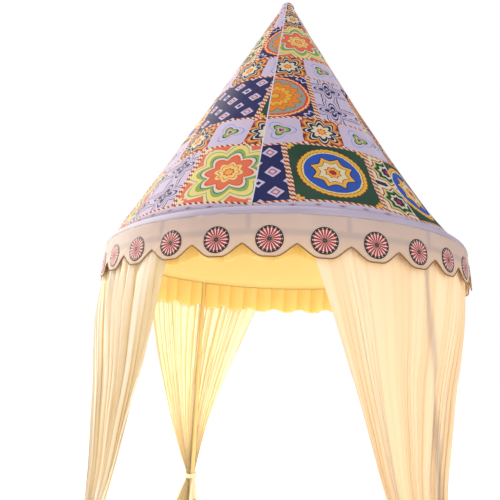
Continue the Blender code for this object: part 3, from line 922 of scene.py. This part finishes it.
# Warm yellow with a soft gleam, and light enough to glow: it tints all that is seen through a doorway.
lining_cloth, add = new_material("yellow_lining_satin")
colour = toned(add, "#FFEDB4", "#FDE29E", 0.5)
cloth(add, colour, "#FFF0BE", 0.55, 0.35, weave(add, 0.002, 0.1, 0.15))
lining_shape = cloth_sheet(192, 40, lining_place, ring_lay(1.3, 2.7), ring=True)
lining = new_piece("lining", lining_shape, lining_cloth, ["ceiling_lining"], SATIN)

# %% [markdown]
# ## Ruffle
#
# Between the posts runs a ruffle of the same yellow cloth, with a scalloped hem. A sine wave would
# look like corrugated sheet. Real gathers are lopsided: the cloth turns sharply at a ridge, which
# catches the light, and falls back slowly to the next one, fourteen times in a panel.

# %% Ruffle shape
RUFFLE_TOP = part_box("ruffle_front")[1].z
RUFFLE_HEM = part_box("ruffle_front")[0].z - 0.007
RUFFLE_RISE = 0.032
RUFFLE_PLEATS = 14
RUFFLE_HALF_ANGLE = 44.13
RIDGE = 0.16
PLEAT_DEPTH = 0.024
RUFFLE_CLOTH = 2.25
CLOTH_IN_PLEAT = RUFFLE_CLOTH / RUFFLE_PLEATS


def pleat_count(across, side_azimuth):
    """How many pleats lie between a panel's end and here: they are not all alike."""
    return across * RUFFLE_PLEATS + 0.25 * waver(across * 9.0, side_azimuth, 1.0)


def ruffle_sheet(side_azimuth):
    """One ruffle panel, with UVs as long as the cloth that is laid in its pleats."""
    def lay(across, down, middle):
        return (pleat_count(across, side_azimuth) * CLOTH_IN_PLEAT, 0.25 - 0.25 * down)

    def place(across, down):
        azimuth = side_azimuth + RUFFLE_HALF_ANGLE * (2.0 * across - 1.0)
        hem = RUFFLE_HEM + RUFFLE_RISE * (0.5 - 0.5 * math.cos(math.pi * from_lobe(azimuth) ** 1.5))
        height = RUFFLE_TOP - 0.002 + (hem - RUFFLE_TOP) * down
        part = pleat_count(across, side_azimuth) % 1.0
        if part < RIDGE:
            ridge = math.sin(math.pi / (2.0 * RIDGE) * part)
        else:
            ridge = ((1.0 - part) / (1.0 - RIDGE)) ** 1.4
        depth = PLEAT_DEPTH * (0.25 + 0.75 * down)
        flutter = 0.003 * ripple(azimuth, height, 0.06, 7.0) * down
        return around(azimuth, RUFFLE_RADIUS + 0.004 - depth * ridge + flutter, height)

    return cloth_sheet(RUFFLE_PLEATS * 16, 16, place, lay)


# %% Ruffle
# The lining's satin, deeper in each pleat, where it lies double, and darker there with painted shade:
# the depth shows from across the tent.
ruffle_cloth, add = new_material("yellow_ruffle_satin")
across = add("SeparateXYZ", add("UVMap", uv_map="UVMap"))
part = add("FRACT", add("MULTIPLY", across, RUFFLE_PLEATS / RUFFLE_CLOTH))
# Painted shade in each pleat, partly for the double cloth.
painted_pleat_shade = add("MapRange", part, 0.25, 1.0, 0.0, 0.6)
colour = add("Mix RGBA", painted_pleat_shade, toned(add, "#FFF3B4", "#FFEAA0", 0.12), "#F6C766")
cloth(add, colour, "#FFEDA6", 0.6, 0.35, weave(add, 0.002, 0.15, 0.35))
for side, side_azimuth in SIDES.items():
    shape = ruffle_sheet(side_azimuth)
    ruffle = new_piece("ruffle_cloth_" + side, shape, ruffle_cloth, ["ruffle_" + side], SATIN)

# %% [markdown]
# ## Drapes
#
# Each drape is a straight length of voile, hooked wide along the hoop and pulled in to its post by a
# tie. Its outline follows the photograph: a table gives both edges at five heights, and the doorway
# edge hangs slack and turns in late to its tie. Two sizes of fold lie over each other, a few wide,
# lazy ones with flat facets and many narrow ones. Both wander, because evenly spaced folds look like
# corrugated sheet. Cloth doesn't shrink, so what a narrow fold loses in width towards the tie goes
# into its depth, as far as the tie draws it in.

# %% Drape outline
DRAPE_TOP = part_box("drape_front_right")[1].z
DRAPE_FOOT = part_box("drape_front_right")[0].z
BUNDLE_HALF_TURN = 1.70
TAIL_HALF_TURN = 8.2
TAIL_LEAN = 3.0
DRAPE_LEVELS = (DRAPE_TOP, 1.90, 1.48, 1.00, 0.70)

# Height of the tie, number of wide folds, share of the narrow folds, depth of the wide folds, and
# the azimuths of both edges at each of the levels.
DRAPES = {
    "front_right": (
        0.37, 5.0, 0.38, 0.80,
        ((12.9, 75.0), (17.9, 65.3), (23.2, 54.0), (29.3, 46.9), (34.6, 45.9)),
    ),
    "rear_right": (
        0.50, 7.0, 1.0, 0.8,
        ((106.2, 163.2), (111.2, 156.6), (117.1, 149.4), (124.3, 141.8), (129.7, 138.4)),
    ),
    "rear_left": (
        0.50, 7.0, 1.0, 0.8,
        ((196.8, 253.8), (203.4, 248.8), (210.6, 242.9), (218.2, 235.7), (221.6, 230.3)),
    ),
    "front_left": (
        0.37, 8.0, 0.45, 2.0,
        ((285.0, 340.6), (295.0, 337.1), (306.4, 333.3), (312.9, 327.4), (314.0, 322.0)),
    ),
}


def read_off(height, levels, values):
    """A value read off a table by height, down its levels."""
    for i in range(len(levels) - 1):
        if height >= levels[i + 1]:
            break
    share = clamp((levels[i] - height) / (levels[i] - levels[i + 1]))
    return values[i] + (values[i + 1] - values[i]) * share


def drape_edges(corner, height):
    """Azimuths of a drape's two edges at a height, with the corners of its outline eased."""
    tie, _, _, _, pairs = DRAPES[corner]
    post = CORNERS[corner]
    tied = (post - BUNDLE_HALF_TURN, post + BUNDLE_HALF_TURN)
    levels = [*DRAPE_LEVELS, tie + 0.018, tie - 0.018, DRAPE_FOOT]
    lean = TAIL_LEAN * math.sin(math.radians(2.0 * post)) if corner.startswith("rear") else 0.0
    pairs = [*pairs, tied, tied, (post - TAIL_HALF_TURN + lean, post + TAIL_HALF_TURN + lean)]
    # Averaged over a little height by the tie, which is tight, and over more elsewhere.
    ease = 0.03 if abs(height - tie) < 0.15 else 0.09
    nearby = [height + ease * step for step in (-1.0, -0.5, 0.0, 0.5, 1.0)]
    edges = []
    for side in (0, 1):
        values = [pair[side] for pair in pairs]
        edges.append(sum(read_off(level, levels, values) for level in nearby) / len(nearby))
    return edges


# %% Drape folds
PLEATS = 18
FULLNESS = 1.08
VALANCE_FOOT = 2.13
TIE_REACH = 0.30
DRAW_IN = 0.55
PRESSED_DEPTH = 0.0062
FREE_DEPTH = 0.010


def fold_counts(corner, across, down):
    """How many wide and narrow folds lie between a drape's edge and here, and this one's chance."""
    post = CORNERS[corner]
    wide = across * DRAPES[corner][1] + 1.1 * waver(across * 3.1, down * 0.4, post)
    narrow = across * PLEATS + 0.9 * waver(across * 5.0, down * 0.8, post + 3.0)
    # Looks random from fold to fold, and is the same all the way down one fold.
    chance = math.sin(12.9898 * math.floor(narrow) + post) * 43.7585 % 1.0
    return wide, narrow, chance


def drape_place(corner):
    """The placing rule for one drape."""
    tie, wide_folds, narrow_share, wide_share, _ = DRAPES[corner]
    post = CORNERS[corner]
    first, last = drape_edges(corner, DRAPE_TOP)
    top_half_width = math.radians(last - first) / 2.0 * POST_OUTER
    cloth_in_pleat = 2.0 * top_half_width * FULLNESS / PLEATS

    def place(across, down):
        # The outline: how wide the drape is here, and how far this point is from its middle.
        height = DRAPE_TOP - 0.004 + (DRAPE_FOOT + 0.004 - DRAPE_TOP) * down
        first, last = drape_edges(corner, height)
        half_width = math.radians(last - first) / 2.0 * POST_OUTER
        pitch = 2.0 * half_width / PLEATS
        side = 2.0 * across - 1.0
        near_tie = max(0.0, 1.0 - abs(height - tie) / TIE_REACH)
        rounding = 1.0 - near_tie * (1.0 - math.sqrt(max(0.0, 1.0 - 0.8 * side**2)))
        lazy, pleat, chance = fold_counts(corner, across, down)

        # Wide folds: part zigzag, part wave, and shallow where the valance presses on them.
        free = clamp((VALANCE_FOOT - height) / 0.25)
        uneven = 1.0 + 0.6 * waver(across * 6.0, down * 0.7, post + 9.0)
        deepest = 0.12 * (2.0 * half_width / wide_folds)
        wide_depth = min(deepest, PRESSED_DEPTH + FREE_DEPTH * free) * uneven * wide_share
        facet = math.asin(math.sin(math.tau * lazy)) * 2.0 / math.pi
        wide = wide_depth * (0.65 * facet + 0.35 * math.sin(math.tau * lazy))

        # Narrow folds: as deep as their length of cloth asks, as far as the tie draws them in.
        depth = math.sqrt(max(0.0, (cloth_in_pleat * 0.97) ** 2 - pitch**2)) / 4.0
        phase = math.tau * pleat
        gathered = 0.12 + 0.88 * (1.0 - half_width / top_half_width) ** 1.6
        by_edge = max(0.0, abs(side) - 0.6) * 1.2
        by_tie = max(0.0, 1.0 - max(0.0, height - tie) / DRAW_IN)
        drawn_in = narrow_share * (0.4 + 1.2 * chance) + by_edge + by_tie
        gathered *= min(1.0, drawn_in)
        fold = (wide + depth * gathered * math.sin(phase)) * rounding

        # The place: clear of the post, with the sides of the folds leaning over each other.
        room = 0.0015 + min(0.020, wide_depth * 1.15 + depth * gathered * 0.9)
        overlap = 0.24 * min(1.0, 0.25 * drawn_in + 1.8 * gathered) * pitch
        shift = half_width * side / POST_OUTER
        azimuth = (first + last) / 2.0 + math.degrees(shift)
        azimuth += math.degrees(overlap * math.sin(2.0 * phase) / POST_OUTER)
        return around(azimuth, max(POST_OUTER + 0.001, POST_OUTER + room + fold), height)

    return place


# %% [markdown]
# Voile is a thin plain weave of fine polyester. It scatters most of the light that falls on it and
# lets much of the rest through, so a drape looks paler where light stands behind it. Glass-like
# transparency would lose the folds. Where the cloth lies double in a fold it is deeper in colour, and
# the folds' shade and lit facets are painted with it, so each point carries a mark of painted fold
# shade, and the shader reads it. The drapes stand in different light in the photograph, so each has
# its own tints, painted for that light.

# %% Voile
# Tints of single cloth and of double cloth in painted fold shade, the same two for the light that
# comes through, the share of that light, the share of the post's painted shadow, how much of a wide
# fold is single cloth in painted light at the top and at the foot, and the part of the painted fold
# shade that comes from narrow folds.
REAR_VOILE = (("#FFF8E8", "#EEDDB0"), ("#FFFCF2", "#F6E4B6"), 0.45, 0.20, 0.7, 0.6, 0.85)
VOILES = {
    "front_right": (("#FCEFDC", "#F4E3C8"), ("#FFF1D2", "#FCE7C0"), 0.42, 0.34, 0.5, 0.4, 0.5),
    "rear_right": REAR_VOILE,
    "rear_left": REAR_VOILE,
    "front_left": (("#FFF8EC", "#E9D5A8"), ("#FDF0D6", "#F3D8A0"), 0.25, 0.10, 0.50, 0.24, 0.3),
}


def painted_fold_shade_rule(corner):
    """The rule for the voile's painted fold light and shade, partly for double cloth, from 0 to 1."""
    light_above, light_below, narrow_part = VOILES[corner][4:]

    def mark(across, down):
        lazy, pleat, chance = fold_counts(corner, across, down)
        # Painted light on the single facets near the top, painted shade where a fold lies double.
        light = light_below + (light_above - light_below) * max(0.0, 1.0 - down / 0.55)
        wide = clamp((lazy % 1.0 - light) / 0.15)
        narrow = clamp((pleat % 1.0 - 0.5) / 0.4) * (0.35 + 0.9 * chance)
        return wide * (1.0 - narrow_part) + narrow * narrow_part

    return mark


def voile(corner):
    """Thin cream voile: pale, dull, strongly translucent, with painted fold shade and a painted post shadow.
    """
    tints, glows, see_through, post_shadow_share = VOILES[corner][:4]
    material, add = new_material("cream_voile_" + corner)
    painted_fold_shade = add("Attribute", attribute_name="painted_fold_shade", out="Fac")
    blotch = add("TexNoise", add("TexCoord", out="Object"), 2.5, 2.0, 0.5)
    painted_fold_shade = add("MULTIPLY_ADD", blotch, 0.3, painted_fold_shade)
    # Painted shadow of the post: a soft grey band where it stands behind the cloth.
    post = upright_lines(add, 90.0, 45.0, POST_OUTER, 0.010, 0.024)
    post = add("MULTIPLY", post, post_shadow_share)
    colour = add("Mix RGBA", post, add("Mix RGBA", painted_fold_shade, *tints), "#B4A6A6")
    glow = add("Mix RGBA", painted_fold_shade, *glows)
    cloth(add, colour, glow, 0.75, see_through, weave(add, 0.002, 0.1, 0.06))
    return material


# %% Four drapes
drape_cloths = {corner: voile(corner) for corner in CORNERS}
drapes = {}
for corner, drape_cloth in drape_cloths.items():
    shape = cloth_sheet(
        PLEATS * 12, 110, drape_place(corner), ring_lay(0.3, 2.25), mark=painted_fold_shade_rule(corner)
    )
    drapes[corner] = new_piece(
        "drape_cloth_" + corner, shape, drape_cloth, ["drape_" + corner], VOILE, 0.0
    )

# %% [markdown]
# ## Ties
#
# A band of the same voile goes round the post and the gathered drape. It is knotted on the inner side,
# and two short ends hang from the knot. It could be one folded strip, but at this size nobody sees
# the folds. So each part is a closed tube: a grid whose long edges are welded, with its ends drawn to
# a point where they must close.

# %% Ties
TIE_HALF_HEIGHT = 0.020
TIE_CLOTH = 0.0022
BAND_HALF_DEPTH = 0.0545
BAND_HALF_WIDTH = 0.0560
KNOT_LENGTH, KNOT_DEPTH, KNOT_HEIGHT = 0.030, 0.017, 0.026
END_LENGTH = 0.23


def tie_shape(corner):
    """The band, the knot and its two ends."""
    low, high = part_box("tie_" + corner)
    azimuth = CORNERS[corner]
    height = (low.z + high.z) / 2.0
    middle = Vector(((low.x + high.x) / 2.0, (low.y + high.y) / 2.0)).length
    shape = bmesh.new()

    def at(across, outward, up):
        return around(azimuth + math.degrees(across / middle), middle + outward, height + up)

    def band(along, down):
        way, turn = math.tau * along, -math.tau * down
        crush = TIE_CLOTH * math.cos(turn) * (1.0 + 0.5 * math.sin(9.0 * way))
        half_height = TIE_HALF_HEIGHT * (1.0 - 0.35 * max(0.0, -math.cos(way)) ** 6)
        lift = half_height * math.sin(turn) + 0.003 * math.sin(2.0 * way)
        return at((BAND_HALF_WIDTH + crush) * math.sin(way), (BAND_HALF_DEPTH + crush) * math.cos(way), lift)

    def knot(along, down):
        way, turn = math.pi * along, -math.tau * down
        lump = 1.0 + 0.14 * waver(3.0 * along, 2.0 * math.cos(turn), azimuth)
        lump += 0.07 * math.sin(3.0 * turn + 5.0 * along)
        ring = math.sin(way) ** 0.8 * lump
        outward = -BAND_HALF_DEPTH - 0.010 + KNOT_DEPTH * ring * math.cos(turn)
        return at(-KNOT_LENGTH * math.cos(way), outward, KNOT_HEIGHT * ring * math.sin(turn))

    def hanging_end(side, along, down):
        turn = -math.tau * down
        closing = min(1.0, 16.0 * (1.0 - along)) * min(1.0, 16.0 * along)
        width = (0.012 + 0.014 * along) * closing
        across = side * (0.004 + 0.022 * along**0.8) + width * math.cos(turn)
        outward = -BAND_HALF_DEPTH - 0.016 + 0.006 * math.sin(5.0 * along)
        outward += 0.0016 * closing * math.sin(turn)
        return at(across, outward, -0.010 - END_LENGTH * (1.0 + 0.15 * side) * along)

    parts = [(64, 16, band), (24, 24, knot)]
    parts += [(24, 10, partial(hanging_end, side)) for side in (-1.0, 1.0)]
    for steps, sides, place in parts:
        cloth_sheet(steps, sides, place, share_lay, ring=True, shape=shape)
    bmesh.ops.recalc_face_normals(shape, faces=shape.faces)
    return shape


for corner, drape in drapes.items():
    tie = new_piece(
        "tie_" + corner + "_band", tie_shape(corner), drape_cloths[corner], ["tie_" + corner]
    )
    first, last = drape_edges(corner, DRAPE_TOP)
